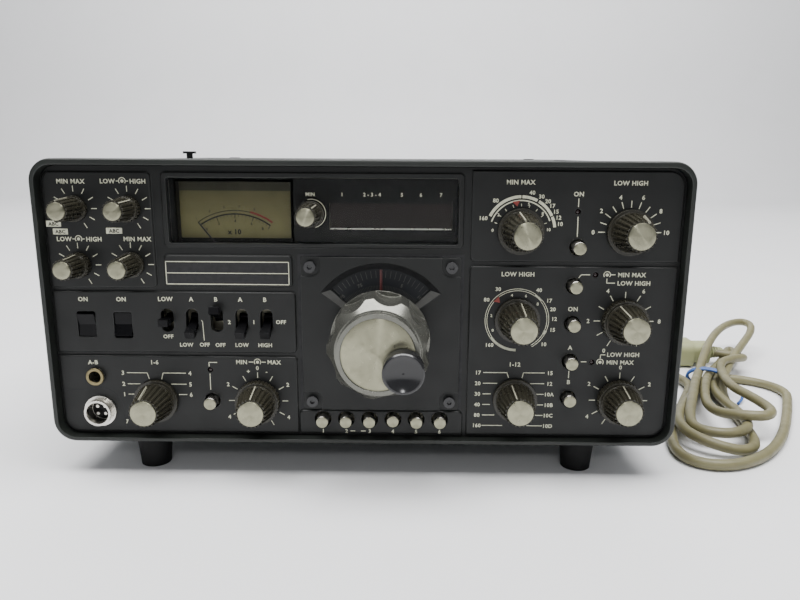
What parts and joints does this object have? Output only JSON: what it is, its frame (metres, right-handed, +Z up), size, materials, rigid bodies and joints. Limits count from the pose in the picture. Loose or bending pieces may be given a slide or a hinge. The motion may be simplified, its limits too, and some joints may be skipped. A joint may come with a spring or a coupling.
{
  "type": "desktop radio transceiver",
  "caption": "Vintage desktop short-wave radio transceiver with fluted knobs, tuning dial, panel meter, lever switches, push buttons and a tied mains lead.",
  "frame": {"origin": "under the middle of the set (without its lead), on the surface the feet stand on", "axes": "+Z up; the front with the controls faces -Y; +X to the right of a person at the front"},
  "size_m": [0.518, 0.4418, 0.1782],
  "materials": {
    "bezel_plastic": "fine-grained moulded plastic, dark grey",
    "panel_plastic": "matt charcoal",
    "window_glass": "smoked clear plastic",
    "nickel": "bright nickel plate",
    "meter_case": "black moulding",
    "plated_steel": "zinc-plated sheet",
    "core_lacquer": "black lacquered laminations",
    "board_laminate": "green laminate",
    "foot_rubber": "black rubber",
    "black_fastener": "blackened",
    "cover_paint": "semi-matt dark grey-green paint",
    "cord_sheath": "aged tan sheath",
    "plug_moulding": "tan moulding",
    "knob_plastic": "glossy dark brown-black",
    "dial_print": "dark translucent dial",
    "needle_black": "black",
    "fan_plastic": "black",
    "spun_metal": "spun, slightly warm",
    "switch_black": "black",
    "print_cream": "printed figures and lines",
    "meter_scale": "aged tan scale plate",
    "readout_filter": "dark red filter",
    "lamp_lens": "small dark red lamp",
    "cord_tie": "blue coated wire"
  },
  "bodies": {
    "root": {"front_bezel": "bezel_plastic", "front_panel": "panel_plastic", "display_window": "window_glass", "tuning_panel": "panel_plastic", "panel_sockets": "nickel", "meter_housing": "meter_case", "chassis": "plated_steel", "amplifier_cage": "plated_steel", "power_transformer": "core_lacquer", "circuit_boards": "board_laminate", "rear_sockets": "nickel", "feet": "foot_rubber", "case_fasteners": "black_fastener", "top_cover": "cover_paint", "bottom_cover": "cover_paint", "cord_lead": "cord_sheath", "cord_hank": "cord_sheath", "mains_plug": "plug_moulding"},
    "vox_gain_knob": {"vox_gain_knob": "knob_plastic"},
    "carrier_knob": {"carrier_knob": "knob_plastic"},
    "keyer_ring": {"keyer_ring": "knob_plastic"},
    "mic_gain_knob": {"mic_gain_knob": "knob_plastic"},
    "squelch_ring": {"squelch_ring": "knob_plastic"},
    "peak_filter_knob": {"peak_filter_knob": "knob_plastic"},
    "dimmer_knob": {"dimmer_knob": "knob_plastic"},
    "mode_knob": {"mode_knob": "knob_plastic"},
    "width_knob": {"width_knob": "knob_plastic"},
    "reject_ring": {"reject_ring": "knob_plastic"},
    "plate_knob": {"plate_knob": "knob_plastic"},
    "loading_knob": {"loading_knob": "knob_plastic"},
    "preselect_knob": {"preselect_knob": "knob_plastic"},
    "band_knob": {"band_knob": "knob_plastic"},
    "af_gain_knob": {"af_gain_knob": "knob_plastic"},
    "processor_ring": {"processor_ring": "knob_plastic"},
    "clarifier_knob": {"clarifier_knob": "knob_plastic"},
    "rf_gain_ring": {"rf_gain_ring": "knob_plastic"},
    "tuning_knob": {"tuning_knob": "knob_plastic"},
    "tuning_crank": {"tuning_crank": "knob_plastic"},
    "tuning_dial": {"tuning_dial": "dial_print"},
    "meter_needle": {"meter_needle": "needle_black"},
    "fan_rotor": {"fan_rotor": "fan_plastic"},
    "reject_button": {"reject_button": "spun_metal"},
    "tune_button": {"tune_button": "spun_metal"},
    "processor_button": {"processor_button": "spun_metal"},
    "attenuator_button": {"attenuator_button": "spun_metal"},
    "receive_offset_button": {"receive_offset_button": "spun_metal"},
    "transmit_offset_button": {"transmit_offset_button": "spun_metal"},
    "memory_button_1": {"memory_button_1": "spun_metal"},
    "memory_button_2": {"memory_button_2": "spun_metal"},
    "memory_button_3": {"memory_button_3": "spun_metal"},
    "memory_button_4": {"memory_button_4": "spun_metal"},
    "memory_button_5": {"memory_button_5": "spun_metal"},
    "memory_button_6": {"memory_button_6": "spun_metal"},
    "power_rocker": {"power_rocker": "switch_black"},
    "heater_rocker": {"heater_rocker": "switch_black"},
    "lever_1": {"lever_1": "switch_black"},
    "lever_2": {"lever_2": "switch_black"},
    "lever_3": {"lever_3": "switch_black"},
    "lever_4": {"lever_4": "switch_black"},
    "lever_5": {"lever_5": "switch_black"}
  },
  "joints": [
    {"name": "vox_gain_turn", "type": "hinge", "parent": "root", "child": "vox_gain_knob", "pos_m": [-0.1506, -0.134, 0.1482], "axis": [0, 1, 0], "range_deg": [-150, 150]},
    {"name": "carrier_turn", "type": "hinge", "parent": "root", "child": "carrier_knob", "pos_m": [-0.1224, -0.134, 0.1483], "axis": [0, 1, 0], "range_deg": [-150, 150]},
    {"name": "keyer_ring_turn", "type": "hinge", "parent": "root", "child": "keyer_ring", "pos_m": [-0.1224, -0.134, 0.1483], "axis": [0, 1, 0], "range_deg": [-150, 150]},
    {"name": "mic_gain_turn", "type": "hinge", "parent": "root", "child": "mic_gain_knob", "pos_m": [-0.1508, -0.134, 0.1184], "axis": [0, 1, 0], "range_deg": [-150, 150]},
    {"name": "squelch_ring_turn", "type": "hinge", "parent": "root", "child": "squelch_ring", "pos_m": [-0.1508, -0.134, 0.1184], "axis": [0, 1, 0], "range_deg": [-150, 150]},
    {"name": "peak_filter_turn", "type": "hinge", "parent": "root", "child": "peak_filter_knob", "pos_m": [-0.1227, -0.134, 0.1188], "axis": [0, 1, 0], "range_deg": [-150, 150]},
    {"name": "dimmer_turn", "type": "hinge", "parent": "root", "child": "dimmer_knob", "pos_m": [-0.0268, -0.134, 0.1461], "axis": [0, 1, 0], "range_deg": [-150, 150]},
    {"name": "mode_turn", "type": "hinge", "parent": "root", "child": "mode_knob", "pos_m": [-0.1145, -0.134, 0.0427], "axis": [0, 1, 0], "range_deg": [-90, 90]},
    {"name": "width_turn", "type": "hinge", "parent": "root", "child": "width_knob", "pos_m": [-0.058, -0.134, 0.0429], "axis": [0, 1, 0], "range_deg": [-150, 150]},
    {"name": "reject_ring_turn", "type": "hinge", "parent": "root", "child": "reject_ring", "pos_m": [-0.058, -0.134, 0.0429], "axis": [0, 1, 0], "range_deg": [-150, 150]},
    {"name": "plate_turn", "type": "hinge", "parent": "root", "child": "plate_knob", "pos_m": [0.0828, -0.134, 0.1378], "axis": [0, 1, 0], "range_deg": [-90, 90]},
    {"name": "loading_turn", "type": "hinge", "parent": "root", "child": "loading_knob", "pos_m": [0.1397, -0.134, 0.1376], "axis": [0, 1, 0], "range_deg": [-90, 90]},
    {"name": "preselect_turn", "type": "hinge", "parent": "root", "child": "preselect_knob", "pos_m": [0.0829, -0.134, 0.09], "axis": [0, 1, 0], "range_deg": [-165, 165]},
    {"name": "band_turn", "type": "hinge", "parent": "root", "child": "band_knob", "pos_m": [0.0834, -0.134, 0.045], "axis": [0, 1, 0], "range_deg": [-165, 165]},
    {"name": "af_gain_turn", "type": "hinge", "parent": "root", "child": "af_gain_knob", "pos_m": [0.1401, -0.134, 0.0899], "axis": [0, 1, 0], "range_deg": [-150, 150]},
    {"name": "processor_ring_turn", "type": "hinge", "parent": "root", "child": "processor_ring", "pos_m": [0.1401, -0.134, 0.0899], "axis": [0, 1, 0], "range_deg": [-150, 150]},
    {"name": "clarifier_turn", "type": "hinge", "parent": "root", "child": "clarifier_knob", "pos_m": [0.1403, -0.134, 0.045], "axis": [0, 1, 0], "range_deg": [-150, 150]},
    {"name": "rf_gain_ring_turn", "type": "hinge", "parent": "root", "child": "rf_gain_ring", "pos_m": [0.1403, -0.134, 0.045], "axis": [0, 1, 0], "range_deg": [-150, 150]},
    {"name": "tuning_turn", "type": "hinge", "parent": "root", "child": "tuning_knob", "pos_m": [0.0097, -0.134, 0.0807], "axis": [0, 1, 0], "continuous": true},
    {"name": "finger_grip_spin", "type": "hinge", "parent": "tuning_knob", "child": "tuning_crank", "pos_m": [0.0223, -0.134, 0.0748], "axis": [0, 1, 0], "continuous": true},
    {"name": "dial_turn", "type": "hinge", "parent": "root", "child": "tuning_dial", "pos_m": [0.0097, -0.134, 0.0807], "axis": [0, 1, 0], "continuous": true},
    {"name": "needle_swing", "type": "hinge", "parent": "root", "child": "meter_needle", "pos_m": [-0.0694, -0.1208, 0.116], "axis": [0, 1, 0], "range_deg": [0, 75.2]},
    {"name": "fan_spin", "type": "hinge", "parent": "root", "child": "fan_rotor", "pos_m": [0.11, 0.132, 0.106], "axis": [0, 1, 0], "continuous": true},
    {"name": "reject_press", "type": "slide", "parent": "root", "child": "reject_button", "axis": [0, 1, 0], "range_m": [0, 0.003], "stiffness_N_per_m": 250},
    {"name": "tune_press", "type": "slide", "parent": "root", "child": "tune_button", "axis": [0, 1, 0], "range_m": [0, 0.003], "stiffness_N_per_m": 250},
    {"name": "processor_press", "type": "slide", "parent": "root", "child": "processor_button", "axis": [0, 1, 0], "range_m": [0, 0.003], "stiffness_N_per_m": 250},
    {"name": "attenuator_press", "type": "slide", "parent": "root", "child": "attenuator_button", "axis": [0, 1, 0], "range_m": [0, 0.003], "stiffness_N_per_m": 250},
    {"name": "receive_offset_press", "type": "slide", "parent": "root", "child": "receive_offset_button", "axis": [0, 1, 0], "range_m": [0, 0.003], "stiffness_N_per_m": 250},
    {"name": "transmit_offset_press", "type": "slide", "parent": "root", "child": "transmit_offset_button", "axis": [0, 1, 0], "range_m": [0, 0.003], "stiffness_N_per_m": 250},
    {"name": "memory_1_press", "type": "slide", "parent": "root", "child": "memory_button_1", "axis": [0, 1, 0], "range_m": [0, 0.0028]},
    {"name": "memory_2_press", "type": "slide", "parent": "root", "child": "memory_button_2", "axis": [0, 1, 0], "range_m": [0, 0.0028]},
    {"name": "memory_3_press", "type": "slide", "parent": "root", "child": "memory_button_3", "axis": [0, 1, 0], "range_m": [0, 0.0028]},
    {"name": "memory_4_press", "type": "slide", "parent": "root", "child": "memory_button_4", "axis": [0, 1, 0], "range_m": [-0.0016, 0.0012]},
    {"name": "memory_5_press", "type": "slide", "parent": "root", "child": "memory_button_5", "axis": [0, 1, 0], "range_m": [0, 0.0028]},
    {"name": "memory_6_press", "type": "slide", "parent": "root", "child": "memory_button_6", "axis": [0, 1, 0], "range_m": [0, 0.0028]},
    {"name": "power_throw", "type": "hinge", "parent": "root", "child": "power_rocker", "pos_m": [-0.14975, -0.126, 0.08585], "axis": [1, 0, 0], "range_deg": [-16, 0]},
    {"name": "heater_throw", "type": "hinge", "parent": "root", "child": "heater_rocker", "pos_m": [-0.13, -0.126, 0.08545], "axis": [1, 0, 0], "range_deg": [0, 16]},
    {"name": "lever_1_throw", "type": "hinge", "parent": "root", "child": "lever_1", "pos_m": [-0.1057, -0.12, 0.0884], "axis": [1, 0, 0], "range_deg": [-25, 25]},
    {"name": "lever_2_throw", "type": "hinge", "parent": "root", "child": "lever_2", "pos_m": [-0.09228, -0.12, 0.0884], "axis": [1, 0, 0], "range_deg": [-50, 0]},
    {"name": "lever_3_throw", "type": "hinge", "parent": "root", "child": "lever_3", "pos_m": [-0.07886, -0.12, 0.0884], "axis": [1, 0, 0], "range_deg": [0, 50]},
    {"name": "lever_4_throw", "type": "hinge", "parent": "root", "child": "lever_4", "pos_m": [-0.06544, -0.12, 0.0884], "axis": [1, 0, 0], "range_deg": [-50, 0]},
    {"name": "lever_5_throw", "type": "hinge", "parent": "root", "child": "lever_5", "pos_m": [-0.05202, -0.12, 0.0884], "axis": [1, 0, 0], "range_deg": [-50, 0]}
  ],
  "couplings": [
    {"joint": "dial_turn", "follows": "tuning_turn", "ratio": 0.2}
  ]
}
